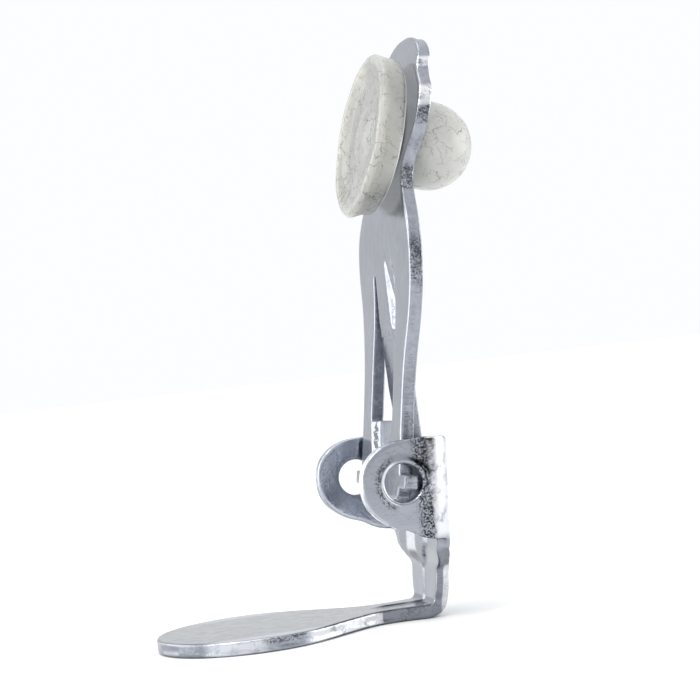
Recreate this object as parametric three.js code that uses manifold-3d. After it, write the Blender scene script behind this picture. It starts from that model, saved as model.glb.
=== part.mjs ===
// Floor door holder: a stamped L-shaped base whose round foot lies on the floor,
// a clevis (web and two ears) on top of its neck, a stamped lever hung in the
// ears by two lugs of its own plate, and a one-piece rubber buffer buttoned
// through the lever's head.
// Millimetres. +Z is up, the foot points along -X, Y is the width. The origin
// lies on the floor plane, straight below the hinge axis.

import * as THREE from 'three';
import { mergeVertices } from 'three/addons/utils/BufferGeometryUtils.js';
import Module from 'manifold-3d';

// ------------------------------------------------------------ dimensions
const PLATE = 2.5;              // sheet thickness of base and lever
const PIVOT_Z = 25.9;           // hinge axis above the floor

const FOOT_CX = -26.5;          // centre of the round foot
const FOOT_R = 17.3;            // radius of the round foot
const FOOT_WAIST = 5.4;         // half width where the foot meets its stem
const NECK_HALF = 7.8;          // half width of the upright neck
const NECK_LEAN = 5.7;          // degrees the neck leans back
const BEND_R = 1.0;             // inner radius of the floor bend

const EAR_OUT = 17.35;          // half width over the ears
const EAR_BEND = 4.6;           // outer radius of the web-to-ear bends
const WEB_LEAN = 4.2;           // degrees the web leans back
const WEB_OUT = 9.42;           // hinge axis to the web's back face
const HOLE_R = 3.4;             // lug hole in each ear
const WEB_TOP = 6.2;            // web's top edge between the ears, above the hinge axis

const LUG_HALF = 1.25;          // half height of a lug
const LUG_REACH = 16.8;         // hinge lug end from the middle plane
const ARM_X0 = 0.35;            // lever front face at the hinge axis
const ARM_LEAN = 0.155;         // slope of the lever's lower front face
const HEAD_SLOPE = 0.262;       // slope of the bent-back head
const WINDOW_HALF = 7.0;        // half width of the lever's window
const WINDOW_LOW = 10.6;        // window, above the hinge axis
const WINDOW_HIGH = 37.8;
const TONGUE_HALF = 5.4;        // half width of the lanced tongue at its root
const TONGUE_TIP_HALF = 3.9;    // and at its free end
const TONGUE_END = 6.55;        // free end, above the hinge axis
const BRIDGE_HALF = 6.4;        // pressed-back bridge under the window
const BRIDGE_SET = 0.9;         // how far it is pressed back

const BUFFER_S = 62.6;          // buffer axis crosses the head front face here
const BUFFER_HOLE_R = 5.0;
const STEM_R = 4.55;
const PAD_R = 15.0;
const KNOB_R = 8.4;

// ------------------------------------------------------------ solids
const wasm = await Module();
wasm.setup();

function toSolid(geometry) {
  const g = geometry.index ? geometry.toNonIndexed() : geometry.clone();
  g.deleteAttribute('normal');
  g.deleteAttribute('uv');
  const m = mergeVertices(g, 1e-4);
  return new wasm.Manifold(new wasm.Mesh({
    numProp: 3,
    vertProperties: new Float32Array(m.attributes.position.array),
    triVerts: new Uint32Array(m.index.array),
  }));
}

function toGeometry(solid) {
  const m = solid.getMesh();
  const g = new THREE.BufferGeometry();
  g.setAttribute('position', new THREE.BufferAttribute(new Float32Array(m.vertProperties), 3));
  g.setIndex(new THREE.BufferAttribute(new Uint32Array(m.triVerts), 1));
  g.computeVertexNormals();
  return g;
}

function shapeOf(points) {
  return new THREE.Shape(points.map(([a, b]) => new THREE.Vector2(a, b)));
}

// outline in X and Y, from z0 up to z1
function prismXY(points, z0, z1) {
  const g = new THREE.ExtrudeGeometry(shapeOf(points), { depth: z1 - z0, bevelEnabled: false });
  g.translate(0, 0, z0);
  return toSolid(g);
}

// outline in X and Z, from y0 to y1
function prismXZ(points, y0, y1) {
  const g = new THREE.ExtrudeGeometry(shapeOf(points), { depth: y1 - y0, bevelEnabled: false });
  g.rotateX(Math.PI / 2);          // shape Y becomes Z, depth runs along -Y
  g.translate(0, y1, 0);
  return toSolid(g);
}

// outline in Y and Z, from x0 to x1
function prismYZ(points, x0, x1) {
  const g = new THREE.ExtrudeGeometry(shapeOf(points), { depth: x1 - x0, bevelEnabled: false });
  const m = new THREE.Matrix4().set(
    0, 0, 1, x0,
    1, 0, 0, 0,
    0, 1, 0, 0,
    0, 0, 0, 1);
  g.applyMatrix4(m);
  return toSolid(g);
}

// polyline with its inner corners rounded
function rounded(points, radius, steps = 5) {
  const out = [points[0]];
  for (let i = 1; i < points.length - 1; i++) {
    const [ax, az] = points[i - 1], [bx, bz] = points[i], [cx, cz] = points[i + 1];
    const u = new THREE.Vector2(ax - bx, az - bz), v = new THREE.Vector2(cx - bx, cz - bz);
    const lu = u.length(), lv = v.length();
    u.normalize(); v.normalize();
    const angle = Math.acos(THREE.MathUtils.clamp(u.dot(v), -1, 1));
    const r = Array.isArray(radius) ? radius[i] : radius;
    const cut = Math.min(r / Math.tan(angle / 2), lu * 0.48, lv * 0.48);
    const p = new THREE.Vector2(bx + u.x * cut, bz + u.y * cut);
    const q = new THREE.Vector2(bx + v.x * cut, bz + v.y * cut);
    const curve = new THREE.QuadraticBezierCurve(p, new THREE.Vector2(bx, bz), q);
    for (const k of curve.getPoints(steps)) out.push([k.x, k.y]);
  }
  out.push(points[points.length - 1]);
  return out;
}

// a strip of sheet seen edge on: its front line, thickened to the right of travel
function sheet(front, t) {
  const back = front.map((p, i) => {
    const a = front[Math.max(i - 1, 0)], b = front[Math.min(i + 1, front.length - 1)];
    const d = new THREE.Vector2(b[0] - a[0], b[1] - a[1]).normalize();
    let k = 1;
    if (i > 0 && i < front.length - 1) {
      const e = new THREE.Vector2(p[0] - a[0], p[1] - a[1]).normalize();
      k = 1 / Math.max(Math.abs(e.dot(d)), 0.6);
    }
    return [p[0] + d.y * t * k, p[1] - d.x * t * k];
  });
  return [...front, ...back.reverse()];
}

const up = (z) => z + PIVOT_Z;
const mirrored = (list) => [
  ...list.map(([z, h]) => [h, up(z)]),
  ...list.slice().reverse().map(([z, h]) => [-h, up(z)]),
];

// ------------------------------------------------------------ base bracket
function makeBase() {
  // round foot and its stem, in plan
  const half = [];
  for (let a = 180; a >= 52; a -= 6) {
    const r = THREE.MathUtils.degToRad(a);
    half.push([FOOT_CX + FOOT_R * Math.cos(r), FOOT_R * Math.sin(r)]);
  }
  half.push([-12.2, 10.9], [-9.0, 8.6], [-6.6, 6.9], [-4.4, 5.8], [-1.6, FOOT_WAIST], [1.4, 5.7], [3.4, 6.1]);
  const foot = [...half, ...half.slice(1).reverse().map(([x, y]) => [x, -y])];
  const plate = prismXY(foot.reverse(), 0, PLATE);

  // stem, floor bend, neck, jog and web, seen edge on
  const lean = Math.tan(THREE.MathUtils.degToRad(NECK_LEAN));
  const neckX = (z) => 7.15 + lean * (z + 15.39);
  const web = Math.tan(THREE.MathUtils.degToRad(WEB_LEAN));
  const webIn = WEB_OUT - PLATE;
  const webX = (z) => webIn / Math.cos(THREE.MathUtils.degToRad(WEB_LEAN)) + web * z;
  const z0 = PLATE - PIVOT_Z;
  const line = rounded([
    [1.2, up(z0)], [neckX(z0), up(z0)], [neckX(-16.4), up(-16.4)], [webX(-13.2), up(-13.2)], [webX(-5), up(-5)],
  ], [0, BEND_R, 1.5, 1.5, 0]);
  const strip = prismXZ(sheet(line, PLATE).reverse(), -20, 20);
  const front = mirrored([
    [-30, 6.2], [-24.6, 6.3], [-22.6, 7.1], [-20, NECK_HALF], [-17.6, 7.85], [-16.6, 8.3],
    [-16.0, 9.6], [-15.2, 11.2], [-14.2, 12.4], [-13.0, 13.0], [-11.7, 13.4], [-10, 13.6], [-6, 12.6],
  ]);
  const neck = strip.intersect(prismYZ(front, -6, 16));

  // clevis: a U in plan, cut to the ears' outline from the side
  const u = [];
  const bend = (cx, cy, r, a0, a1) => {
    for (let i = 0; i <= 6; i++) {
      const a = THREE.MathUtils.degToRad(a0 + (a1 - a0) * i / 6);
      u.push([cx + r * Math.cos(a), cy + r * Math.sin(a)]);
    }
  };
  const inner = EAR_BEND - PLATE;
  u.push([-12, -EAR_OUT]);
  bend(WEB_OUT - EAR_BEND, -EAR_OUT + EAR_BEND, EAR_BEND, -90, 0);
  bend(WEB_OUT - EAR_BEND, EAR_OUT - EAR_BEND, EAR_BEND, 0, 90);
  u.push([-12, EAR_OUT], [-12, EAR_OUT - PLATE]);
  bend(WEB_OUT - EAR_BEND, EAR_OUT - EAR_BEND, inner, 90, 0);
  bend(WEB_OUT - EAR_BEND, -EAR_OUT + EAR_BEND, inner, 0, -90);
  u.push([-12, -EAR_OUT + PLATE]);
  const ug = new THREE.ExtrudeGeometry(shapeOf(u), { depth: 30, bevelEnabled: false });
  ug.translate(0, 0, -16);
  ug.rotateY(THREE.MathUtils.degToRad(WEB_LEAN));
  ug.translate(0, 0, PIVOT_Z);
  const outline = new THREE.SplineCurve([
    [-0.4, 7.4], [-2.4, 7.0], [-4.2, 6.2], [-5.7, 5.0], [-6.8, 3.5], [-7.4, 1.8], [-7.55, 0], [-7.45, -1.7],
    [-6.9, -3.5], [-5.7, -5.3], [-4.0, -6.75], [-2.0, -7.85],
  ].map(([x, z]) => new THREE.Vector2(x, up(z)))).getPoints(24).map((p) => [p.x, p.y]);
  outline.push([0.5, up(-8.75)], [4.6, up(-9.85)], [7.7, up(-10.45)], [14, up(-11.2)], [14, up(7.8)], [6, up(7.95)], [3, up(7.75)]);
  const clevis = toSolid(ug).intersect(prismXZ(outline, -22, 22));

  // lug holes
  const hole = new THREE.CylinderGeometry(HOLE_R, HOLE_R, 50, 32);
  hole.translate(0, 0, PIVOT_Z);
  // the web's top edge stands a little lower than the ears
  const step = prismYZ([[-9.6, up(WEB_TOP)], [9.6, up(WEB_TOP)], [9.6, up(14)], [-9.6, up(14)]], 4, 18);
  return toGeometry(plate.add(neck).add(clevis).subtract(toSolid(hole)).subtract(step));
}

// ------------------------------------------------------------ lever
const armX = (z) => ARM_X0 + ARM_LEAN * z;
const HEAD_Z = 54.0, HEAD_X = 7.5;
const ARM_LINE = [
  [armX(-8), -8], [armX(28.5), 28.5], [5.42, 34.6], [5.75, 39.9], [6.2, 45.8], [6.75, 49.8], [HEAD_X, HEAD_Z],
  [HEAD_X + HEAD_SLOPE * 34, HEAD_Z + 34],
].map(([x, z]) => [x, up(z)]);

function makeLever() {
  const line = rounded(ARM_LINE, 3, 2);
  const strip = prismXZ(sheet(line, PLATE).reverse(), -22, 22);
  const outline = mirrored([
    [-3.2, 10.4], [-2.9, 11.7], [-2.2, 12.6], [-LUG_HALF, 13.0], [-LUG_HALF, LUG_REACH], [LUG_HALF, LUG_REACH],
    [LUG_HALF, 13.0], [9, 12.9], [12.7, 12.9], [16, 13.0], [19, 13.2], [21.5, 13.5], [25, 14.2], [28.5, 15.1],
    [32, 15.9], [34.6, 16.6], [37.2, 16.95], [39.9, 17.1], [42.5, 17.0], [45.8, 16.2], [47.6, 15.3], [49, 14.4],
    [51.9, 12.5], [53.8, 11.4], [55.5, 10.9], [57.3, 10.9], [59.1, 12.0], [61.1, 14.4], [63.1, 15.7],
    [65.1, 16.3], [66.8, 16.2], [68.4, 15.9], [70.3, 15.1], [72.3, 13.1], [73.5, 12.1], [74.4, 11.95],
    [75.5, 11.7], [76.6, 11.1], [77.9, 9.9], [79.2, 8.2], [80.2, 5.8], [80.8, 3.0], [81.0, 0.01],
  ]);
  let lever = strip.intersect(prismYZ(outline, -10, 40));

  // window
  const w = WINDOW_HALF;
  lever = lever.subtract(prismYZ([
    [-w, up(WINDOW_LOW)], [w, up(WINDOW_LOW)], [w, up(WINDOW_HIGH)], [-w, up(WINDOW_HIGH)],
  ], -10, 40));

  // bridge under the window, pressed back
  const low = 1.6, b = BRIDGE_HALF;
  lever = lever.subtract(prismYZ([[-b, up(low)], [b, up(low)], [b, up(WINDOW_LOW + 1)], [-b, up(WINDOW_LOW + 1)]], -10, 20));
  const bridge = sheet([
    [armX(0.2) + 0.1, up(0.2)], [armX(2.6) + BRIDGE_SET, up(2.6)], [armX(WINDOW_LOW) + BRIDGE_SET, up(WINDOW_LOW)],
  ], PLATE);
  lever = lever.add(prismXZ(bridge.reverse(), -b - 0.2, b + 0.2));

  // lanced tongue, bent back to stand over the web's top edge
  const tongueLine = [
    [5.7, WINDOW_HIGH + 0.8], [5.45, 31], [5.4, 27.6], [5.45, 16], [5.95, TONGUE_END],
  ].map(([x, z]) => [x, up(z)]);
  const tongue = prismXZ(sheet(tongueLine.reverse(), PLATE).reverse(), -10, 10).intersect(prismYZ([
    [-TONGUE_TIP_HALF, up(TONGUE_END)], [TONGUE_TIP_HALF, up(TONGUE_END)],
    [TONGUE_HALF, up(28)], [TONGUE_HALF, up(40)], [-TONGUE_HALF, up(40)], [-TONGUE_HALF, up(28)],
  ], -10, 40));
  lever = lever.add(tongue);

  // buffer hole
  const hole = new THREE.CylinderGeometry(BUFFER_HOLE_R, BUFFER_HOLE_R, 20, 32);
  hole.rotateZ(Math.PI / 2);
  hole.rotateY(Math.atan(HEAD_SLOPE));
  hole.translate(HEAD_X + HEAD_SLOPE * (BUFFER_S - HEAD_Z), 0, up(BUFFER_S));
  return toGeometry(lever.subtract(toSolid(hole)));
}

// ------------------------------------------------------------ rubber buffer
// profile as [radius, height along the axis]; height 0 is the head's front face
function makeBuffer() {
  const pts = [];
  const knobC = -PLATE - 4.9;
  const seat = -PLATE - 0.3;
  const a0 = Math.acos((seat - knobC) / KNOB_R);
  for (let i = 0; i <= 12; i++) {
    const a = Math.PI - (Math.PI - a0) * i / 12;
    pts.push([KNOB_R * Math.sin(a), knobC + KNOB_R * Math.cos(a)]);
  }
  pts[0][0] = 0;
  pts.push([STEM_R, seat], [STEM_R, 0.3], [7.4, 0.3], [7.4, 1.0], [13.9, 1.05], [14.75, 1.6], [14.9, 2.6], [PAD_R, 5.0],
    [14.8, 5.8], [14.0, 6.2], [13.0, 5.9], [11.6, 5.2], [9.0, 4.8], [6.2, 4.9], [3.6, 5.4], [1.8, 5.7], [0, 5.8]);
  const g = new THREE.LatheGeometry(pts.map(([r, h]) => new THREE.Vector2(r, h)), 40);
  return toGeometry(toSolid(g));
}

// ------------------------------------------------------------ assembly
const zinc = (c) => new THREE.MeshStandardMaterial({ color: c, roughness: 0.32, metalness: 1.0 });
const group = new THREE.Group();

const base = new THREE.Mesh(makeBase(), zinc(0xb4bac4));
base.name = 'base_bracket';
group.add(base);

const lever = new THREE.Mesh(makeLever(), zinc(0xbac0c9));
lever.name = 'lever_arm';
group.add(lever);

const rubber = new THREE.MeshStandardMaterial({ color: 0xcfcfc9, roughness: 0.45, metalness: 0.0 });
const buffer = new THREE.Mesh(makeBuffer(), rubber);
buffer.name = 'rubber_buffer';
const seat = new THREE.Group();
seat.position.set(HEAD_X + HEAD_SLOPE * (BUFFER_S - HEAD_Z), 0, up(BUFFER_S));
// the lathe's own axis (+Y) turns to the head's outward normal
seat.quaternion.setFromUnitVectors(
  new THREE.Vector3(0, 1, 0),
  new THREE.Vector3(-1, 0, HEAD_SLOPE).normalize());
seat.add(buffer);
group.add(seat);

export default group;
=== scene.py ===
import bpy
import bmesh
import math
import numpy as np
from mathutils import Vector, Matrix, noise
from mathutils.geometry import delaunay_2d_cdt


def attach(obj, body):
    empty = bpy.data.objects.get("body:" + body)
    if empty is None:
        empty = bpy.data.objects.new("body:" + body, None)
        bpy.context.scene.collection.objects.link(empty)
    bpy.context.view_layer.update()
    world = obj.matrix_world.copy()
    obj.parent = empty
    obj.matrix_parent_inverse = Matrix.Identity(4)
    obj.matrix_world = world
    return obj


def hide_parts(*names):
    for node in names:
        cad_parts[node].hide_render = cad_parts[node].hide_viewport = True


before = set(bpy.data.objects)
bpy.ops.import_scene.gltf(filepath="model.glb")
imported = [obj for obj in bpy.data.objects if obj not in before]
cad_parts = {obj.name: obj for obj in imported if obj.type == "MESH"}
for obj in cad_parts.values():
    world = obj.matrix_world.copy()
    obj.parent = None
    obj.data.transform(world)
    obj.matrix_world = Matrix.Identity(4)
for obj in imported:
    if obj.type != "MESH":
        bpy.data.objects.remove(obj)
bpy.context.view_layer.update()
MM = 0.001

# ------------------------------------------------------------------ numbers, millimetres
PLATE = 2.5
PIVOT_Z = 25.9
FOOT_CX, FOOT_R = -26.5, 17.3
EAR_OUT, EAR_BEND, WEB_OUT, WEB_LEAN, NECK_LEAN = 17.35, 4.6, 9.42, 4.2, 5.7
HOLE_R = 3.4
ARM_X0, ARM_LEAN = 0.35, 0.155
HEAD_Z, HEAD_X, HEAD_SLOPE = 54.0, 7.5, 0.262
BUFFER_S = 62.6


def smooth(a, b, x):
    t = min(1.0, max(0.0, (x - a) / (b - a)))
    return t * t * (3 - 2 * t)


def catmull(pts, step=0.5):
    """A smooth open curve through pts, sampled about every step."""
    p = [np.array(q, float) for q in pts]
    p = [2 * p[0] - p[1]] + p + [2 * p[-1] - p[-2]]
    out = []
    for i in range(1, len(p) - 2):
        a, b, c, d = p[i - 1], p[i], p[i + 1], p[i + 2]
        n = max(1, int(round(np.linalg.norm(c - b) / step)))
        for k in range(n):
            t = k / n
            out.append(0.5 * ((2 * b) + (c - a) * t + (2 * a - 5 * b + 4 * c - d) * t * t
                              + (3 * b - a - 3 * c + d) * t ** 3))
    out.append(p[-2])
    return out


def straight(pts, step=0.5):
    out = []
    for a, b in zip(pts[:-1], pts[1:]):
        a, b = np.array(a, float), np.array(b, float)
        n = max(1, int(round(np.linalg.norm(b - a) / step)))
        out += [a + (b - a) * k / n for k in range(n)]
    out.append(np.array(pts[-1], float))
    return out


def fillet(pts, radii, step=0.3):
    """Polyline with rounded corners (arcs), open."""
    out = [np.array(pts[0], float)]
    for i in range(1, len(pts) - 1):
        a, b, c = (np.array(pts[j], float) for j in (i - 1, i, i + 1))
        u, v = a - b, c - b
        lu, lv = np.linalg.norm(u), np.linalg.norm(v)
        u, v = u / lu, v / lv
        ang = math.acos(max(-1, min(1, float(u @ v))))
        r = radii[i]
        if r <= 0 or ang > math.pi - 1e-3:
            out.append(b)
            continue
        cut = min(r / math.tan(ang / 2), lu * 0.49, lv * 0.49)
        r = cut * math.tan(ang / 2)
        p, q = b + u * cut, b + v * cut
        mid = (u + v) / np.linalg.norm(u + v)
        centre = b + mid * (r / math.sin(ang / 2))
        turn = math.pi - ang
        n = max(2, int(math.ceil(r * turn / step)))
        a0 = math.atan2(*(p - centre)[::-1])
        a1 = math.atan2(*(q - centre)[::-1])
        d = (a1 - a0 + math.pi) % (2 * math.pi) - math.pi
        for k in range(n + 1):
            t = a0 + d * k / n
            out.append(centre + r * np.array([math.cos(t), math.sin(t)]))
    out.append(np.array(pts[-1], float))
    return out


def dense(pts, step):
    out = []
    for a, b in zip(pts[:-1], pts[1:]):
        n = max(1, int(math.ceil(np.linalg.norm(b - a) / step - 1e-6)))
        out += [a + (b - a) * k / n for k in range(n)]
    out.append(pts[-1])
    return out


def clean(loop, tol=0.12):
    """Closed loop without near-repeated points."""
    out = []
    for p in loop:
        if not out or np.linalg.norm(p - out[-1]) > tol:
            out.append(np.array(p, float))
    while np.linalg.norm(out[0] - out[-1]) < tol:
        out.pop()
    return out


def area(loop):
    a = np.array(loop)
    return 0.5 * float(np.sum(a[:, 0] * np.roll(a[:, 1], -1) - np.roll(a[:, 0], -1) * a[:, 1]))


def inside(pts, loop):
    """Which of pts lie inside the loop."""
    pts = np.asarray(pts)
    x, y = pts[:, 0], pts[:, 1]
    a = np.array(loop)
    b = np.roll(a, -1, axis=0)
    hit = np.zeros(len(pts), bool)
    for (x0, y0), (x1, y1) in zip(a, b):
        if y0 == y1:
            continue
        m = ((y0 > y) != (y1 > y)) & (x < (x1 - x0) * (y - y0) / (y1 - y0) + x0)
        hit ^= m
    return hit


def near_dist(pts, loops):
    pts = np.asarray(pts)
    best = np.full(len(pts), 1e9)
    for loop in loops:
        a = np.array(loop)
        b = np.roll(a, -1, axis=0)
        for p, q in zip(a, b):
            d = q - p
            L = float(d @ d) or 1e-9
            t = np.clip(((pts - p) @ d) / L, 0, 1)
            best = np.minimum(best, np.linalg.norm(pts - (p + t[:, None] * d), axis=1))
    return best


def outward(loop, hole):
    """Unit normals of the loop pointing out of the sheet, with their mitre stretch."""
    a = np.array(loop)
    prev, nxt = np.roll(a, 1, axis=0), np.roll(a, -1, axis=0)
    e0 = a - prev
    e1 = nxt - a
    e0 /= np.linalg.norm(e0, axis=1)[:, None]
    e1 /= np.linalg.norm(e1, axis=1)[:, None]
    n0 = np.stack([e0[:, 1], -e0[:, 0]], 1)
    n1 = np.stack([e1[:, 1], -e1[:, 0]], 1)
    sgn = 1.0 if area(loop) > 0 else -1.0
    if hole:
        sgn = -sgn
    n = n0 + n1
    n /= np.maximum(np.linalg.norm(n, axis=1), 1e-6)[:, None]
    k = 1.0 / np.maximum(np.sum(n * n0, axis=1), 0.5)
    return n * sgn, k


def stamp(name, loops, fmap, grids, thick=PLATE, wall=5, rough=0.0):
    """A sheet-metal piece. loops: [(points, is_hole, r_front, r_back)] in flat
    millimetres; fmap(u, v) gives (front point, normal to the back, thickness).
    Both faces are one dense mesh, and the cut edges are real rounded walls."""
    inner, cons, verts = [], [], []
    info = []
    for pts, hole, rf, rb in loops:
        pts = clean(pts)
        n, k = outward(pts, hole)
        ins = np.array(pts) - n * (rf * k)[:, None]
        start = len(verts)
        verts += [tuple(p) for p in ins]
        m = len(ins)
        cons += [(start + i, start + (i + 1) % m) for i in range(m)]
        inner.append(ins)
        info.append((start, m, n, k, rf, rb, np.array(pts)))
    outer = inner[0]
    extra = []
    lo, hi = outer.min(0), outer.max(0)
    for (u0, u1, v0, v1, du, dv) in grids:
        us = np.arange(max(u0, lo[0]), min(u1, hi[0]) + 1e-6, du)
        vs = np.arange(max(v0, lo[1]), min(v1, hi[1]) + 1e-6, dv)
        for j, v in enumerate(vs):
            for u in us:
                extra.append((u + (du / 2 if j % 2 else 0), v, min(du, dv)))
    extra = np.array(extra)
    ok = inside(extra[:, :2], outer)
    for h in inner[1:]:
        ok &= ~inside(extra[:, :2], h)
    extra = extra[ok]
    extra = extra[near_dist(extra[:, :2], inner) > 0.42]
    # a row of points along every edge, so that the rounded rim meets flat faces cleanly
    ring = []
    for start, m, n, k, rf, rb, pts in info:
        q = np.array(pts) - n * (rf * k + 0.48)[:, None]
        ring += [(a, b, 0.5) for a, b in q]
    ring = np.array(ring)
    ok = inside(ring[:, :2], outer)
    for h in inner[1:]:
        ok &= ~inside(ring[:, :2], h)
    ring = ring[ok]
    ring = ring[near_dist(ring[:, :2], inner) > 0.40]
    extra = np.concatenate([ring, extra])
    # keep the finer grid's points where grids overlap
    order = np.argsort(extra[:, 2], kind="stable")
    kept, cells = [], {}
    for i in order:
        u, v, d = extra[i]
        c = (int(math.floor(u / 0.9)), int(math.floor(v / 0.9)))
        clash = False
        for a in (-1, 0, 1):
            for b in (-1, 0, 1):
                for (x, y) in cells.get((c[0] + a, c[1] + b), ()):
                    if (x - u) ** 2 + (y - v) ** 2 < (d * 0.55) ** 2:
                        clash = True
        if not clash:
            kept.append((u, v))
            cells.setdefault(c, []).append((u, v))
    nb = len(verts)
    verts += kept
    res = delaunay_2d_cdt([Vector(v) for v in verts], cons, [], 0, 1e-5)
    v2, tris, orig = res[0], res[2], res[3]
    v2 = np.array([(v.x, v.y) for v in v2])
    tri = np.array([t for t in tris if len(t) == 3])
    cen = v2[tri].mean(1)
    ok = inside(cen, outer)
    for h in inner[1:]:
        ok &= ~inside(cen, h)
    tri = tri[ok]
    back_of = {}
    for new, src in enumerate(orig):
        for s in src:
            back_of[s] = new
    bm = bmesh.new()
    mask = bm.verts.layers.float.new("cut_edge")
    front, back = {}, {}
    shift = np.zeros((len(v2), 2))
    for start, m, n, k, rf, rb, pts in info:
        for i in range(m):
            shift[back_of[start + i]] = -n[i] * (rb - rf) * k[i]
    for i in sorted(set(tri.ravel().tolist())):
        u, v = v2[i]
        p, nn, t = fmap(u, v)
        front[i] = bm.verts.new(p * MM)
        u, v = v2[i] + shift[i]
        p, nn, t = fmap(u, v)
        back[i] = bm.verts.new((p + nn * t) * MM)
    for a, b, c in tri:
        bm.faces.new((front[a], front[b], front[c]))
        bm.faces.new((back[c], back[b], back[a]))
    for order_i, (start, m, n, k, rf, rb, pts) in enumerate(info):
        hole_of = order_i > 0
        rings = []
        for i in range(m):
            idx = back_of[start + i]
            base = v2[idx]
            e = 0.02
            p0, nn, t = fmap(*base)
            pa = fmap(*(base + n[i] * e))[0]
            pb = fmap(*(base - n[i] * e))[0]
            o = pa - pb
            o /= max(np.linalg.norm(o), 1e-9)
            ring = [front[idx]]
            kk = min(k[i], 1.6)
            for j in range(1, 4):
                a = math.pi / 2 * j / 3
                w = bm.verts.new((p0 + o * rf * kk * math.sin(a) + nn * rf * (1 - math.cos(a))) * MM)
                w[mask] = j / 3
                ring.append(w)
            for j in range(1, wall):
                d = rf + (t - rf - rb) * j / wall
                q = noise.noise(Vector((base[0] * 1.7, base[1] * 1.7, d * 1.1))) * rough
                # below the sheared band, torn stretches stand a little back
                torn = smooth(0.02, 0.12, noise.noise(Vector((base[0] * 0.13, base[1] * 0.13, 5.3))))
                if j >= 2 and not hole_of:
                    q -= 0.12 * torn * min(1.0, (j - 1) / 1.0) + 0.05 * torn * abs(
                        noise.noise(Vector((base[0] * 3.1, base[1] * 3.1, d * 2.2))))
                w = bm.verts.new((p0 + o * (rf * kk + q) + nn * d) * MM)
                w[mask] = 1.0
                ring.append(w)
            p1, nn1, t1 = fmap(*(base + shift[idx]))
            for j in range(3, 0, -1):
                a = math.pi / 2 * j / 3
                w = bm.verts.new((p0 + o * (rf * kk - rb * kk * (1 - math.sin(a))) + nn * (t - rb * (1 - math.cos(a)))) * MM)
                w[mask] = j / 3
                ring.append(w)
            ring.append(back[idx])
            rings.append(ring)
        for i in range(m):
            r0, r1 = rings[i], rings[(i + 1) % m]
            for j in range(len(r0) - 1):
                try:
                    bm.faces.new((r0[j], r0[j + 1], r1[j + 1], r1[j]))
                except ValueError:
                    pass
    bmesh.ops.remove_doubles(bm, verts=bm.verts, dist=0.004 * MM)
    bmesh.ops.recalc_face_normals(bm, faces=bm.faces)
    me = bpy.data.meshes.new(name)
    bm.to_mesh(me)
    bm.free()
    for f in me.polygons:
        f.use_smooth = True
    ob = bpy.data.objects.new(name, me)
    bpy.context.scene.collection.objects.link(ob)
    return ob


def circle(cx, cy, r, n=48):
    return [np.array([cx + r * math.cos(2 * math.pi * i / n), cy + r * math.sin(2 * math.pi * i / n)])
            for i in range(n)]


# ------------------------------------------------------------------ materials
def nodes_of(name):
    m = bpy.data.materials.new(name)
    m.use_nodes = True
    nt = m.node_tree
    nt.nodes.clear()
    out = nt.nodes.new("ShaderNodeOutputMaterial")
    bsdf = nt.nodes.new("ShaderNodeBsdfPrincipled")
    nt.links.new(bsdf.outputs[0], out.inputs[0])
    return m, nt, bsdf


def tex(nt, kind, scale, coord, **kw):
    n = nt.nodes.new(kind)
    n.inputs["Scale"].default_value = scale
    for k, v in kw.items():
        key = k.replace("_", " ")
        if key in n.inputs:
            n.inputs[key].default_value = v
        else:
            setattr(n, k, v)
    nt.links.new(coord, n.inputs["Vector"])
    return n


def ramp(nt, fac, stops):
    n = nt.nodes.new("ShaderNodeValToRGB")
    el = n.color_ramp.elements
    while len(el) < len(stops):
        el.new(0.5)
    for e, (p, c) in zip(el, stops):
        e.position = p
        e.color = (c, c, c, 1) if isinstance(c, (int, float)) else (*c, 1)
    nt.links.new(fac, n.inputs[0])
    return n


def math_node(nt, op, a, b=None, c=None, clamp=False):
    n = nt.nodes.new("ShaderNodeMath")
    n.operation = op
    n.use_clamp = clamp
    for i, v in enumerate((a, b, c)):
        if v is None:
            continue
        if isinstance(v, (int, float)):
            n.inputs[i].default_value = v
        else:
            nt.links.new(v, n.inputs[i])
    return n.outputs[0]


def mix_rgb(nt, fac, a, b, mode="MIX"):
    n = nt.nodes.new("ShaderNodeMix")
    n.data_type = "RGBA"
    n.blend_type = mode
    ins = [s for s in n.inputs if s.type == "RGBA"]
    f = [s for s in n.inputs if s.name == "Factor" and s.type == "VALUE"][0]
    if isinstance(fac, (int, float)):
        f.default_value = fac
    else:
        nt.links.new(fac, f)
    for s, v in zip(ins, (a, b)):
        if isinstance(v, tuple):
            s.default_value = (*v, 1)
        else:
            nt.links.new(v, s)
    return [s for s in n.outputs if s.type == "RGBA"][0]


def rise(nt, v, a, b, unit=MM):
    """Smooth 0 to 1 while v goes from a to b; b may be the smaller."""
    r = nt.nodes.new("ShaderNodeMapRange")
    r.interpolation_type = "SMOOTHSTEP"
    r.inputs["From Min"].default_value = min(a, b) * unit
    r.inputs["From Max"].default_value = max(a, b) * unit
    r.inputs["To Min"].default_value = 0.0 if a < b else 1.0
    r.inputs["To Max"].default_value = 1.0 if a < b else 0.0
    nt.links.new(v, r.inputs["Value"])
    return r.outputs[0]


def all_of(nt, *s):
    out = s[0]
    for q in s[1:]:
        out = math_node(nt, "MULTIPLY", out, q)
    return out


def any_of(nt, *s):
    out = s[0]
    for q in s[1:]:
        out = math_node(nt, "MAXIMUM", out, q)
    return out


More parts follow.
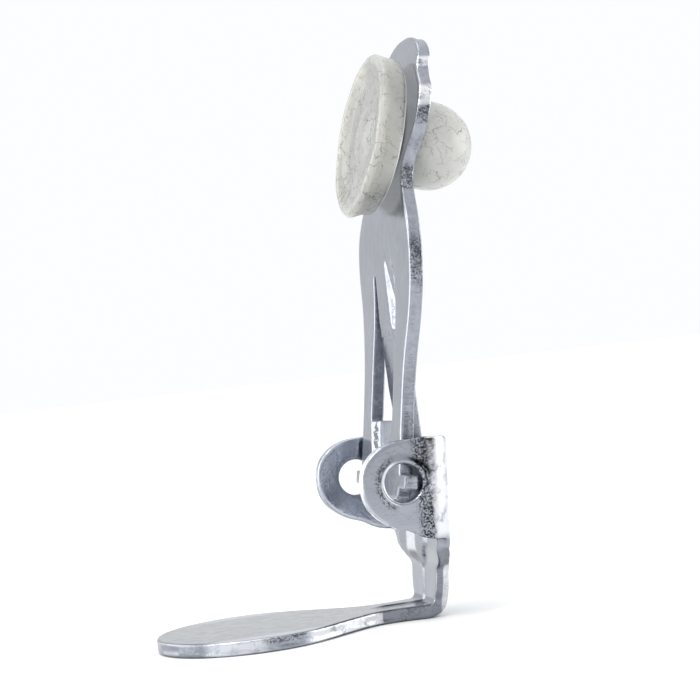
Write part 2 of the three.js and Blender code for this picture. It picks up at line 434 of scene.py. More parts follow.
def zinc(name, tint, rough_lo=0.10, rough_hi=0.21, marks=False, nicks=False):
    m, nt, b = nodes_of(name)
    tc = nt.nodes.new("ShaderNodeTexCoord")
    co = tc.outputs["Object"]
    big = tex(nt, "ShaderNodeTexNoise", 90, co, Detail=4.0, Roughness=0.55)
    mid = tex(nt, "ShaderNodeTexNoise", 520, co, Detail=5.0, Roughness=0.6)
    fine = tex(nt, "ShaderNodeTexNoise", 2600, co, Detail=4.0, Roughness=0.65)
    pits = tex(nt, "ShaderNodeTexVoronoi", 1500, co, Randomness=1.0)
    att = nt.nodes.new("ShaderNodeAttribute")
    att.attribute_name = "cut_edge"
    cut = att.outputs["Fac"]
    # colour: bluish bright zinc, a little greyer in cloudy patches, duller on the cut walls
    lo = tuple(c * 0.86 for c in tint)
    col = mix_rgb(nt, ramp(nt, big.outputs[0], [(0.35, 0.0), (0.68, 1.0)]).outputs[0], lo, tint)
    col = mix_rgb(nt, math_node(nt, "MULTIPLY", ramp(nt, fine.outputs[0], [(0.3, 1.0), (0.46, 0.0)]).outputs[0], 0.32),
                  col, tuple(c * 0.62 for c in tint))
    wall = mix_rgb(nt, ramp(nt, mid.outputs[0], [(0.38, 0.0), (0.6, 1.0)]).outputs[0],
                   tuple(c * 0.95 for c in tint), tuple(min(1.0, c * 1.3) for c in tint))
    col = mix_rgb(nt, math_node(nt, "MULTIPLY", cut, 0.55), col, wall)
    grit = ramp(nt, fine.outputs[0], [(0.47, 1.0), (0.53, 0.0)]).outputs[0]
    clumps = ramp(nt, big.outputs[0], [(0.58, 0.0), (0.68, 1.0)]).outputs[0]
    dark = math_node(nt, "MULTIPLY", all_of(nt, cut, clumps, grit), 0.55)
    if marks:
        # marks placed by position: painted highlights on the ear bends, the rolled hole lip, the web's back edge, the V
        # boss and stretches of the foot's cut wall;
        # painted dark reflections beside each ear bend and round each hole, painted shade on the web, neck and foot and
        # at the V tip, and torn stretches of the cut wall
        sep = nt.nodes.new("ShaderNodeSeparateXYZ")
        nt.links.new(co, sep.inputs[0])
        X, Y, Z = sep.outputs[0], sep.outputs[1], sep.outputs[2]
        AY = math_node(nt, "ABSOLUTE", Y, 0.0)
        dz = math_node(nt, "SUBTRACT", Z, PIVOT_Z * MM)
        R = math_node(nt, "SQRT", math_node(nt, "ADD", all_of(nt, X, X), all_of(nt, dz, dz)), 0.0)
        face = rise(nt, AY, 15.9, 16.6)
        # painted shade: the web, neck and foot (|y| under 12.4 mm) are painted darker than the ears
        painted_middle_shade = rise(nt, AY, 13.4, 12.4)
        col = mix_rgb(nt, math_node(nt, "MULTIPLY", painted_middle_shade, 1.0), col,
                      tuple(c * 0.68 for c in tint))
        # painted light: the front part of each ear's inner face is painted lighter
        col = mix_rgb(nt, all_of(nt, rise(nt, AY, 16.3, 15.9), rise(nt, AY, 13.2, 14.2), rise(nt, X, 4.0, 2.0)),
                      col, tuple(min(1.0, c * 1.3) for c in tint))
        bx = math_node(nt, "SUBTRACT", X, (WEB_OUT - EAR_BEND) * MM)
        by = math_node(nt, "SUBTRACT", AY, (EAR_OUT - EAR_BEND) * MM)
        rho = math_node(nt, "SQRT", math_node(nt, "ADD", all_of(nt, bx, bx), all_of(nt, by, by)), 0.0)
        bend = all_of(nt, rise(nt, rho, 3.4, 3.9), rise(nt, AY, 13.2, 14.6), rise(nt, X, 4.5, 5.3),
                      rise(nt, Z, 14.5, 16.5))
        veins = ramp(nt, mid.outputs[0], [(0.36, 0.25), (0.47, 1.0)]).outputs[0]
        lip = all_of(nt, face, rise(nt, R, 4.25, 3.95), rise(nt, X, -0.6, -2.2))
        t = math_node(nt, "SUBTRACT", math_node(nt, "SUBTRACT", X, math_node(nt, "MULTIPLY", Z, 0.0998)), 6.1 * MM)
        painted_back_edge_glint = all_of(nt, rise(nt, t, 1.15, 1.45), rise(nt, AY, 6.2, 6.9), rise(nt, Z, 14.5, 13.0),
                           rise(nt, AY, 9.0, 8.4))
        painted_edge_glint_a = all_of(nt, cut, rise(nt, X, -20.4, -18.6), rise(nt, X, -3.2, -3.6), rise(nt, Y, -1.0, -2.0),
                         rise(nt, Z, 0.15, 0.5), veins)
        painted_edge_glint_b = all_of(nt, cut, rise(nt, X, -38.0, -36.0), rise(nt, X, -26.5, -29.0), rise(nt, Y, -1.0, -2.0), veins)
        boss = all_of(nt, rise(nt, Z, 11.5, 12.7), rise(nt, Z, 17.5, 16.0), rise(nt, AY, 2.5, 1.7),
                      rise(nt, X, 9.2, 8.5))
        # painted highlights: bright colour on the ear bends, the left side of the hole lip, the web's back edge, the
        # foot's cut wall and the V boss
        painted_highlight = any_of(nt, all_of(nt, bend, veins), lip, painted_back_edge_glint, painted_edge_glint_a,
                          math_node(nt, "MULTIPLY", painted_edge_glint_b, 0.7), math_node(nt, "MULTIPLY", boss, 0.8))
        col = mix_rgb(nt, painted_highlight, col, (0.66, 0.675, 0.71))
        # painted dark reflections: a speckled dark strip down each ear's outer face beside the bend, and a speckled
        # dark ring round the left of each hole
        strip = all_of(nt, face, rise(nt, X, 1.5, 2.9), rise(nt, X, 5.5, 4.6))
        painted_hole_dark_reflection = all_of(nt, face, rise(nt, R, 4.1, 4.4), rise(nt, R, 5.6, 4.8), rise(nt, X, -0.9, -2.8))
        # painted shade at the tip of the V
        painted_tip_shade = all_of(nt, rise(nt, Z, 8.6, 10.0), rise(nt, Z, 12.6, 11.6), rise(nt, AY, 2.0, 1.0), rise(nt, X, 9.2, 8.5))
        torn = all_of(nt, cut, rise(nt, X, -29.0, -27.0), rise(nt, X, -19.0, -20.5), rise(nt, Y, -1.0, -2.0),
                      rise(nt, Z, 1.1, 1.6))
        dark = any_of(nt, dark, all_of(nt, strip, grit), math_node(nt, "MULTIPLY", all_of(nt, painted_hole_dark_reflection, grit), 0.85),
                      math_node(nt, "MULTIPLY", painted_tip_shade, 0.55), math_node(nt, "MULTIPLY", all_of(nt, torn, grit), 0.8))
    if nicks:
        # painted glints and torn stretches of the lever's near cut wall
        sep = nt.nodes.new("ShaderNodeSeparateXYZ")
        nt.links.new(co, sep.inputs[0])
        Z = sep.outputs[2]
        near = rise(nt, sep.outputs[1], -1.0, -2.0)
        spark = ramp(nt, mid.outputs[0], [(0.40, 0.0), (0.50, 1.0)]).outputs[0]
        # painted highlight: bright glints on the head's near cut wall
        painted_glint = any_of(nt, all_of(nt, rise(nt, Z, 99.6, 100.2), rise(nt, Z, 102.0, 101.4)),
                       all_of(nt, rise(nt, Z, 92.0, 92.6), rise(nt, Z, 96.6, 95.4)))
        col = mix_rgb(nt, all_of(nt, cut, near, painted_glint, spark), col, (0.78, 0.79, 0.82))
        torn = any_of(nt, all_of(nt, rise(nt, Z, 88.8, 89.4), rise(nt, Z, 92.4, 91.8)),
                      all_of(nt, rise(nt, Z, 77.6, 78.4), rise(nt, Z, 82.6, 81.8)),
                      all_of(nt, rise(nt, Z, 60.0, 62.0), rise(nt, Z, 70.0, 68.0)))
        dark = any_of(nt, dark, math_node(nt, "MULTIPLY", all_of(nt, cut, near, torn, grit), 0.75))
    col = mix_rgb(nt, dark, col, tuple(c * 0.10 for c in tint))
    nt.links.new(col, b.inputs["Base Color"])
    b.inputs["Metallic"].default_value = 1.0
    r = nt.nodes.new("ShaderNodeMapRange")
    r.inputs["From Min"].default_value = 0.3
    r.inputs["From Max"].default_value = 0.7
    r.inputs["To Min"].default_value = rough_lo
    r.inputs["To Max"].default_value = rough_hi
    nt.links.new(mid.outputs[0], r.inputs["Value"])
    rr = math_node(nt, "ADD", r.outputs[0], math_node(nt, "MULTIPLY", cut, 0.08), clamp=True)
    nt.links.new(rr, b.inputs["Roughness"])
    # relief: orange peel, grain, pits, and torn fracture marks across the cut walls
    def bump(height, strength, dist, prev=None):
        n = nt.nodes.new("ShaderNodeBump")
        n.inputs["Strength"].default_value = strength
        n.inputs["Distance"].default_value = dist
        nt.links.new(height, n.inputs["Height"])
        if prev:
            nt.links.new(prev, n.inputs["Normal"])
        return n.outputs[0]
    nrm = bump(big.outputs[0], 0.22, 0.0004)
    nrm = bump(mid.outputs[0], 0.30, 0.00016, nrm)
    nrm = bump(fine.outputs[0], 0.32, 0.00005, nrm)
    pit = ramp(nt, pits.outputs["Distance"], [(0.0, 0.0), (0.22, 1.0)]).outputs[0]
    nrm = bump(pit, 0.12, 0.00005, nrm)
    sc = nt.nodes.new("ShaderNodeMapping")
    sc.inputs["Scale"].default_value = (0.35, 1.0, 1.0)
    nt.links.new(co, sc.inputs["Vector"])
    tear = tex(nt, "ShaderNodeTexNoise", 900, sc.outputs[0], Detail=6.0, Roughness=0.7)
    nrm = bump(math_node(nt, "MULTIPLY", tear.outputs[0], cut), 0.55, 0.00028, nrm)
    nt.links.new(nrm, b.inputs["Normal"])
    return m


def milky_rubber(name):
    m, nt, b = nodes_of(name)
    tc = nt.nodes.new("ShaderNodeTexCoord")
    co = tc.outputs["Object"]
    warp = tex(nt, "ShaderNodeTexNoise", 260, co, Detail=3.0, Roughness=0.6)
    add = nt.nodes.new("ShaderNodeVectorMath")
    add.operation = "MULTIPLY_ADD"
    nt.links.new(warp.outputs["Color"], add.inputs[0])
    add.inputs[1].default_value = (0.0042, 0.0042, 0.0042)
    nt.links.new(co, add.inputs[2])
    lines = []
    for scale, width, lo, hi, seed in ((340, 0.032, 0.48, 0.55, 0.0), (620, 0.042, 0.48, 0.55, 0.31)):
        off = nt.nodes.new("ShaderNodeVectorMath")
        off.operation = "ADD"
        nt.links.new(add.outputs[0], off.inputs[0])
        off.inputs[1].default_value = (seed, seed * 0.7, seed * 0.3)
        v = tex(nt, "ShaderNodeTexVoronoi", scale, off.outputs[0], feature="DISTANCE_TO_EDGE")
        line = ramp(nt, v.outputs["Distance"], [(0.0, 1.0), (width, 0.0)]).outputs[0]
        where = tex(nt, "ShaderNodeTexNoise", scale * 0.9, off.outputs[0], Detail=2.0)
        keep = ramp(nt, where.outputs[0], [(lo, 0.0), (hi, 1.0)]).outputs[0]
        lines.append(math_node(nt, "MULTIPLY", line, keep))
    crack = math_node(nt, "MAXIMUM", lines[0], math_node(nt, "MULTIPLY", lines[1], 0.7))
    big = tex(nt, "ShaderNodeTexNoise", 110, co, Detail=4.0)
    fine = tex(nt, "ShaderNodeTexNoise", 1500, co, Detail=4.0, Roughness=0.7)
    body = mix_rgb(nt, ramp(nt, big.outputs[0], [(0.35, 0.0), (0.65, 1.0)]).outputs[0],
                   (0.44, 0.445, 0.42), (0.53, 0.53, 0.505))
    body = mix_rgb(nt, math_node(nt, "MULTIPLY", ramp(nt, fine.outputs[0], [(0.5, 0.0), (0.72, 1.0)]).outputs[0], 0.3),
                   body, (0.36, 0.37, 0.34))
    col = mix_rgb(nt, math_node(nt, "MULTIPLY", crack, 0.85), body, (0.09, 0.092, 0.08))
    # painted shade darkens the thin pad and painted light lightens the ball, and an emission paints a glow on the pad's
    # back in place of light soaking through
    sep = nt.nodes.new("ShaderNodeSeparateXYZ")
    nt.links.new(co, sep.inputs[0])
    q = math_node(nt, "SUBTRACT", math_node(nt, "MULTIPLY", sep.outputs[2], 0.253),
                  math_node(nt, "ADD", math_node(nt, "MULTIPLY", sep.outputs[0], 0.967), 12.93 * MM))
    # painted shade: the pad is darkened
    col = mix_rgb(nt, math_node(nt, "MULTIPLY", rise(nt, q, -1.5, 0.5), 0.30), col, (0.10, 0.10, 0.10))
    # painted light: the ball is lightened
    col = mix_rgb(nt, math_node(nt, "MULTIPLY", rise(nt, q, -1.5, -3.0), 0.16), col, (0.92, 0.92, 0.90))
    back = nt.nodes.new("ShaderNodeVectorMath")
    back.operation = "DOT_PRODUCT"
    nt.links.new(tc.outputs["Normal"], back.inputs[0])
    back.inputs[1].default_value = (0.967, 0.0, -0.253)
    # painted glow: emission on the pad's back stands in for light passing through the rubber
    glow = all_of(nt, rise(nt, back.outputs["Value"], 0.6, 0.95, 1.0), rise(nt, q, 0.2, 0.6))
    nt.links.new(math_node(nt, "MULTIPLY", glow, 0.5), b.inputs["Emission Strength"])
    b.inputs["Emission Color"].default_value = (0.95, 0.96, 0.95, 1)
    nt.links.new(col, b.inputs["Base Color"])
    b.inputs["Subsurface Weight"].default_value = 0.85
    b.inputs["Subsurface Radius"].default_value = (0.9, 0.85, 0.75)
    b.inputs["Subsurface Scale"].default_value = 0.009
    b.inputs["IOR"].default_value = 1.45
    r = math_node(nt, "ADD", math_node(nt, "MULTIPLY", fine.outputs[0], 0.2), 0.14)
    nt.links.new(r, b.inputs["Roughness"])
    n1 = nt.nodes.new("ShaderNodeBump")
    n1.inputs["Strength"].default_value = 0.25
    n1.inputs["Distance"].default_value = 0.0002
    nt.links.new(big.outputs[0], n1.inputs["Height"])
    n2 = nt.nodes.new("ShaderNodeBump")
    n2.inputs["Strength"].default_value = 0.5
    n2.inputs["Distance"].default_value = 0.00012
    n2.invert = True
    nt.links.new(crack, n2.inputs["Height"])
    nt.links.new(n1.outputs[0], n2.inputs["Normal"])
    n3 = nt.nodes.new("ShaderNodeBump")
    n3.inputs["Strength"].default_value = 0.25
    n3.inputs["Distance"].default_value = 0.00004
    nt.links.new(fine.outputs[0], n3.inputs["Height"])
    nt.links.new(n2.outputs[0], n3.inputs["Normal"])
    nt.links.new(n3.outputs[0], b.inputs["Normal"])
    return m


ZINC_BASE = zinc("zinc_base", (0.34, 0.36, 0.405), marks=True)
ZINC_LEVER = zinc("zinc_lever", (0.30, 0.318, 0.36), nicks=True)
RUBBER = milky_rubber("milky_rubber")

# ------------------------------------------------------------------ lever arm
_z = np.arange(-14, 96, 0.05)


def table(points, sigma):
    zz, xx = zip(*points)
    x = np.interp(_z, zz, xx)
    k = np.arange(-4 * sigma, 4 * sigma + 1e-9, 0.05)
    w = np.exp(-0.5 * (k / sigma) ** 2)
    w /= w.sum()
    pad = len(k) // 2
    xe = np.concatenate([x[0] + (x[1] - x[0]) * np.arange(-pad, 0), x,
                         x[-1] + (x[-1] - x[-2]) * np.arange(1, pad + 1)])
    return np.convolve(xe, w, "valid")[:len(_z)]


def arm0(z):
    return ARM_X0 + ARM_LEAN * z


ARM_T = table([(-14, arm0(-14)), (28.5, arm0(28.5)), (32, 5.2), (34.6, 5.42), (39.9, 5.75), (42.5, 5.93), (45.8, 6.2),
               (49.8, 6.75), (HEAD_Z, HEAD_X), (96, HEAD_X + HEAD_SLOPE * (96 - HEAD_Z))], 1.1)
TONGUE_T = table([(-14, 6.4), (6.55, 5.95), (16, 5.45), (27.2, 5.42), (28.4, 5.30), (31, 5.42), (38.2, 5.64), (96, 12.0)], 0.4)


TONGUE_B = table([(-14, 6.4), (6.55, 5.95), (16, 5.45), (27.6, 5.40), (31, 5.42), (38.2, 5.64), (96, 12.0)], 1.3)


def arm_x(z):
    return float(np.interp(z, _z, ARM_T))


def tongue_half(zf):
    return 3.9 + (5.4 - 3.9) * min(1.0, max(0.0, (zf - 11.2) / (28.0 - 11.2)))


TF_LOW, T_LOW, T_ROOT = 11.2, 6.55, 37.8


def facet(y, z):
    """The strip beside the slit, bent back along a slanting line that runs out above the tongue."""
    a = -1.1 - (40.0 - z) * 0.137
    b = -1.5 - (40.0 - z) * 0.32
    over = min(max(0.0, a - y), max(0.0, a - b))
    k = smooth(42.0, 39.0, z) * smooth(26.9, 27.9, z)
    return 0.42 * over * k


def lever_point(y, z, fine=True):
    """Front face of the lever for flat (y, z); without the fine marks it gives
    the surface that the back face follows."""
    mid = (tongue_half(z) + 7.0) / 2
    if TF_LOW - 0.4 < z < T_ROOT + 0.8 and abs(y) < mid:
        zz = z if z >= T_ROOT else T_ROOT - (T_ROOT - z) * (T_ROOT - T_LOW) / (T_ROOT - TF_LOW)
        w = smooth(T_ROOT - 1.0, T_ROOT + 0.6, z)
        x = float(np.interp(zz, _z, TONGUE_T if fine else TONGUE_B)) * (1 - w) + arm_x(zz) * w
        if not fine:
            return np.array([x, y, zz + PIVOT_Z])
        # coined patch just under the crease
        x += 0.10 * math.exp(-((zz - 26.0) / 1.2) ** 2) * noise.noise(Vector((y * 1.3, zz * 1.3, 4.0))) * 2
        return np.array([x + facet(y, zz), y, zz + PIVOT_Z])
    w = 3.2 + 2.7 * min(1.0, max(0.0, z / 10.6)) ** 0.7
    set_back = 1.35 * smooth(w + 0.55, w - 0.3, abs(y)) * smooth(-0.2, 2.6, z) * smooth(12.5, 11.0, z)
    set_back += 0.22 * smooth(w, w * 0.2, abs(y)) * smooth(1.0, 5.0, z) * smooth(12.5, 11.0, z)
    if not fine:
        set_back = 1.15 * smooth(7.4, 3.6, abs(y)) * smooth(-0.6, 3.4, z) * smooth(12.8, 10.8, z)
    x = arm_x(z) + set_back
    # very slight crown over the hips, as pressed sheet has
    x += 0.10 * (abs(y) / 17.0) ** 2
    if z > T_ROOT and fine:
        x += facet(y, z) * smooth(-6.4, -3.4, y)
    return np.array([x, y, z + PIVOT_Z])


def lever_map(y, z):
    front = lever_point(y, z)
    p = lever_point(y, z, False)
    e = 0.03
    tongue = TF_LOW - 0.4 < z < T_ROOT + 0.8
    a = lever_point(y, z + (e if not tongue or z < T_ROOT + 0.7 else -e), False)
    dz = a - p
    if dz[2] < 0:
        dz = -dz
    b = lever_point(y + (e if y < 0 else -e), z, False)
    dy = (b - p) * (1 if y < 0 else -1)
    n = np.cross(dy, dz)
    n /= np.linalg.norm(n)
    v = p + n * PLATE - front
    t = np.linalg.norm(v)
    return front, v / t, t


def lever_outline():
    side = [(13.0, 1.25), (12.95, 5.0), (12.9, 9.0), (12.9, 12.7), (13.0, 16.0), (13.2, 19.0), (13.5, 21.6), (14.2, 25.0),
            (15.1, 28.5), (15.9, 32.0), (16.6, 34.8), (17.0, 37.4), (17.15, 40.0), (17.0, 42.6), (16.45, 45.0),
            (15.4, 47.4), (14.1, 49.6), (12.6, 51.8), (11.45, 53.8), (10.9, 55.6), (10.95, 57.3), (11.9, 59.1),
            (13.5, 60.6), (14.9, 62.0), (15.85, 63.8), (16.3, 65.6), (16.2, 67.4), (15.75, 69.2), (14.8, 70.8),
            (13.3, 72.2), (12.25, 73.4), (11.95, 74.4), (11.8, 75.5), (11.2, 76.8), (10.1, 78.1), (8.5, 79.2),
            (6.3, 80.2), (4.1, 80.75), (2.0, 81.0), (0.0, 81.05)]
    up = catmull(side, 0.5)
    lug = dense(fillet([(0, -3.2), (11.9, -3.2), (13.0, -1.25), (16.8, -1.25), (16.8, 1.25), (13.0, 1.25), (13.0, 4.0)],
                       [0, 1.2, 0.25, 0.35, 0.35, 0.25, 0], 0.25), 0.5)[:-1]
    right = [np.array(p, float) for p in lug] + [p for p in up if p[1] > 4.2]
    left = [np.array([-p[0], p[1]]) for p in reversed(right)][1:-1]
    return right + left


def window_loop():
    """U-shaped cut round the tongue."""
    top = T_ROOT
    pts = [(-7.0, 10.6), (7.0, 10.6), (7.0, top), (tongue_half(top), top), (tongue_half(28), 28.0),
           (tongue_half(TF_LOW), TF_LOW), (-tongue_half(TF_LOW), TF_LOW), (-tongue_half(28), 28.0),
           (-tongue_half(top), top), (-7.0, top)]
    pts = pts + [pts[0], pts[1]]
    rad = [0, 0.6, 0.75, 0.75, 3.0, 0.5, 0.5, 3.0, 0.75, 0.75, 0.6, 0]
    loop = fillet(pts, rad, 0.3)
    # drop the repeated opening stretch
    loop = loop[1:-1]
    out = dense([np.array(p) for p in loop] + [np.array(loop[0])], 0.55)[:-1]
    return out


hole_z = BUFFER_S
lever = stamp(
    "lever_sheet",
    [(lever_outline(), False, 0.38, 0.30),
     (window_loop(), True, 0.26, 0.26),
     (circle(0, hole_z, 5.0, 56), True, 0.4, 0.3)],
    lever_map,
    [(-20, 20, -4, 84, 1.15, 1.0), (-7.4, 7.4, 0, 10.4, 0.5, 0.5), (-5.6, 5.6, 22, 30.5, 0.6, 0.4),
     (-5.6, 5.6, 35.5, 40, 0.6, 0.4), (-8.6, 8.6, 10.0, 13.0, 0.6, 0.6)],
    rough=0.05)

# ------------------------------------------------------------------ base bracket
lean = math.tan(math.radians(NECK_LEAN))
weblean = math.tan(math.radians(WEB_LEAN))
WEB_IN = WEB_OUT - PLATE
CL, SL = math.cos(math.radians(WEB_LEAN)), math.sin(math.radians(WEB_LEAN))
z0 = PLATE - PIVOT_Z


def neck_x(z):
    return 7.15 + lean * (z + 15.39)


def web_x(z):
    return WEB_IN / CL + weblean * z


line = fillet([(-43.8, z0), (neck_x(z0), z0), (neck_x(-16.4), -16.4), (web_x(-13.2), -13.2), (web_x(14), 14)],
              [0, 1.1, 2.6, 2.6, 0], 0.12)
line = np.array(dense(line, 0.25))
LS = np.concatenate([[0], np.cumsum(np.linalg.norm(np.diff(line, axis=0), axis=1))])


def at_s(s):
    return np.array([np.interp(s, LS, line[:, 0]), np.interp(s, LS, line[:, 1])])


def s_of_x(x):
    return x + 43.8


def s_of_z(z):
    m = LS > s_of_x(4.0)
    return float(np.interp(z, line[m, 1], LS[m]))


Y_BEND = EAR_OUT - EAR_BEND
R_IN = EAR_BEND - PLATE
ARC = R_IN * math.pi / 2
S0 = s_of_z(0.0) - (0.0)      # s where the web passes the hinge height
# local z' of a web point at height z is measured along the web
def zl_of_s(s):
    p = at_s(s)
    return p[0] * SL + p[1] * CL


S_HINGE = float(np.interp(0.0, [zl_of_s(s) for s in np.linspace(s_of_z(-9), s_of_z(9), 80)],
                          np.linspace(s_of_z(-9), s_of_z(9), 80)))


def base_point(y, s, fine=True):
    ay, sg = abs(y), (1 if y >= 0 else -1)
    p = at_s(s)
    a, b = at_s(s - 0.05), at_s(s + 0.05)
    d = (b - a) / np.linalg.norm(b - a)
    n = np.array([d[1], 0, -d[0]])
    if ay > Y_BEND and s > S_HINGE - 18.0:
        phi = min((ay - Y_BEND) / R_IN, math.pi / 2)
        k = R_IN * (1 - math.cos(phi)) + max(0.0, ay - Y_BEND - ARC)
        yy = Y_BEND + R_IN * math.sin(phi)
        # the ears start to turn a little before the bend proper
        rest = ay - Y_BEND - ARC
        if rest > 0:
            yy -= 0.17 * max(0.0, 1 - rest / 2.6) ** 2
        else:
            u = min(-rest, 1.5)
            yy -= (0.17 + 0.13 * (u - u * u / 3)) * smooth(0.0, 1.2, ay - Y_BEND)
        return (np.array([p[0] - n[0] * k, sg * yy, p[1] - n[2] * k + PIVOT_Z]),
                np.array([n[0] * math.cos(phi), sg * math.sin(phi), n[2] * math.cos(phi)]))
    z = p[1]
    disp = 0.0
    # V-shaped step: the web comes forward lower down in the middle
    if z > -19 and p[0] > 3:
        w = 0.3 + 6.4 * min(1.0, max(0.0, (z + 17.4) / 5.0))
        depth = 1.0 * smooth(-17.5, -14.2, z) * smooth(-7.0, -9.5, z)
        if fine:
            disp -= depth * smooth(w + 0.45, w - 0.45, ay) * (1 + 0.6 * max(-1.0, min(1.0, y / w)))
        else:
            disp -= 0.55 * smooth(-17.8, -13.2, z) * smooth(-6.5, -10.5, z) * smooth(w + 1.6, w - 2.4, ay)
    # stiffening bead from the foot's stem, round the bend and up the neck
    run = smooth(s_of_x(-5.0), s_of_x(-1.0), s) * (1 - smooth(s_of_z(-17.8), s_of_z(-16.0), s) if s > s_of_x(5) else 1)
    if fine:
        disp -= 0.30 * run * math.exp(-(ay / 0.5) ** 2)
    q = np.array([p[0], y, z + PIVOT_Z]) + n * disp
    return q, n


def base_map(y, s):
    front = base_point(y, s)[0]
    p, n = base_point(y, s, False)
    e = 0.04
    dy = base_point(y + e, s, False)[0] - base_point(y - e, s, False)[0]
    ds = base_point(y, s + e, False)[0] - base_point(y, s - e, False)[0]
    m = np.cross(dy, ds)
    L = np.linalg.norm(m)
    if L > 1e-9:
        m = m / L
        if m @ n < 0:
            m = -m
        n = m
    rim = math.hypot(abs(y) - EAR_Y, s - S_HINGE) - HOLE_R
    v = p + n * (PLATE + (0.26 * math.exp(-((rim - 0.55) / 0.5) ** 2) if rim < 3 else 0.0)) - front
    t = np.linalg.norm(v)
    return front, v / t, t


def base_outline():
    right = []
    for a in range(0, 127, 2):
        r = math.radians(180 - a)
        right.append((FOOT_R * math.sin(r), s_of_x(FOOT_CX + FOOT_R * math.cos(r))))
    right[0] = (0.0, right[0][1])
    stem = [(12.6, -14.3), (10.5, -11.6), (8.55, -8.9), (6.9, -6.5), (5.85, -4.2), (5.45, -1.6), (5.6, 1.4), (6.0, 3.6)]
    neck = [(6.8, -22.6), (7.5, -21.2), (7.8, -19.4), (7.85, -17.8), (8.1, -17.0), (9.3, -16.3), (11.0, -15.4), (12.2, -14.3),
            (12.9, -13.0), (13.4, -11.8), (14.3, -10.8)]
    pts = [(h, s_of_x(x)) for h, x in stem] + [(h, s_of_z(z)) for h, z in neck]
    circ = [np.array(p, float) for p in right]
    circ = [p for p in circ if p[1] < s_of_x(-15.2)]
    low = [(7.7, -10.45), (4.6, -9.85), (0.5, -8.75), (-2.0, -7.85), (-4.0, -6.75), (-5.7, -5.3), (-6.9, -3.5),
           (-7.45, -1.7), (-7.55, 0.0), (-7.4, 1.8), (-6.8, 3.5), (-5.7, 5.0), (-4.2, 6.2), (-2.4, 7.0), (-0.4, 7.4), (3.0, 7.6)]
    flat = []
    for x, z in low:
        xl, zl = x * CL - z * SL, x * SL + z * CL
        if xl <= WEB_IN - R_IN:
            flat.append((Y_BEND + ARC + (WEB_IN - R_IN) - xl, zl + S_HINGE))
    ear = [(16.0, S_HINGE - 10.15), (17.8, S_HINGE - 9.65)] + flat + [
        (16.6, S_HINGE + 7.95), (14.6, S_HINGE + 8.0), (12.9, S_HINGE + 7.75), (11.4, S_HINGE + 7.1),
        (10.2, S_HINGE + 6.3), (9.2, S_HINGE + 6.15), (0.0, S_HINGE + 6.15)]
    curve = catmull([tuple(circ[-1])] + pts + ear, 0.5)
    half = [p for p in circ[:-1]] + list(curve)
    half = dense([np.array(p) for p in half], 0.6)
    left = [np.array([-p[0], p[1]]) for p in reversed(half)][1:-1]
    return half + left


EAR_Y = Y_BEND + ARC + (WEB_IN - R_IN)
sb = s_of_z(z0 + 0.6)
base = stamp(
    "base_sheet",
    [(base_outline(), False, 0.34, 0.42),
     (circle(EAR_Y, S_HINGE, HOLE_R, 56), True, 0.35, 0.62),
     (circle(-EAR_Y, S_HINGE, HOLE_R, 56), True, 0.35, 0.62)],
    base_map,
    [(-29, 29, -1, S_HINGE + 9, 1.1, 1.0),
     (-8, 8, s_of_x(4.2), s_of_x(8.4), 0.6, 0.18),
     (-3.0, 3.0, s_of_x(-5.5), s_of_z(-14), 0.3, 0.55),
     (-6.5, 6.5, s_of_z(-18.5), s_of_z(-8.6), 0.42, 0.42),
     (-17, 17, s_of_z(-17.5), s_of_z(-9), 0.7, 0.4),
     (EAR_Y - 5.4, EAR_Y + 5.4, S_HINGE - 5.4, S_HINGE + 5.4, 0.45, 0.45),
     (-EAR_Y - 5.4, -EAR_Y + 5.4, S_HINGE - 5.4, S_HINGE + 5.4, 0.45, 0.45),
     (Y_BEND - 0.4, Y_BEND + ARC + 0.4, S_HINGE - 10, S_HINGE + 9, 0.3, 0.7),
     (-Y_BEND - ARC - 0.4, -Y_BEND + 0.4, S_HINGE - 10, S_HINGE + 9, 0.3, 0.7)],
    rough=0.05)

# ------------------------------------------------------------------ rubber buffer
def buffer_profile():
    knob_c, kr = -PLATE - 4.9, 8.4
    seat = -PLATE - 0.3
    a0 = math.acos((seat - knob_c) / kr)
    pts = []
    for i in range(0, 41):
        a = math.pi - (math.pi - a0) * i / 40
        pts.append((kr * math.sin(a), knob_c + kr * math.cos(a)))
    pts[0] = (0.0, pts[0][1])
    tail = fillet([(pts[-1][0], seat), (4.55, seat), (4.55, 0.3), (7.4, 0.3), (7.4, 1.0), (13.9, 1.05), (14.75, 1.7),
                   (14.85, 4.3), (15.05, 5.1), (15.05, 5.6), (14.5, 6.2), (13.6, 6.1), (12.6, 5.45), (11.0, 4.85),
                   (8.8, 4.6), (6.6, 4.75), (4.6, 5.25), (2.6, 5.65), (1.0, 5.8), (0.0, 5.82)],
                  [0, 0.3, 0.4, 0.3, 0.4, 1.0, 1.2, 1.0, 0.4, 0.4, 0.5, 0.7, 1.2, 2.0, 3.0, 3.0, 3.0, 3.0, 1.0, 0], 0.25)
    tail = dense([np.array(p) for p in tail], 0.6)
    return [np.array(p, float) for p in pts] + tail[1:]


LIP_ANGLE = -math.pi / 2


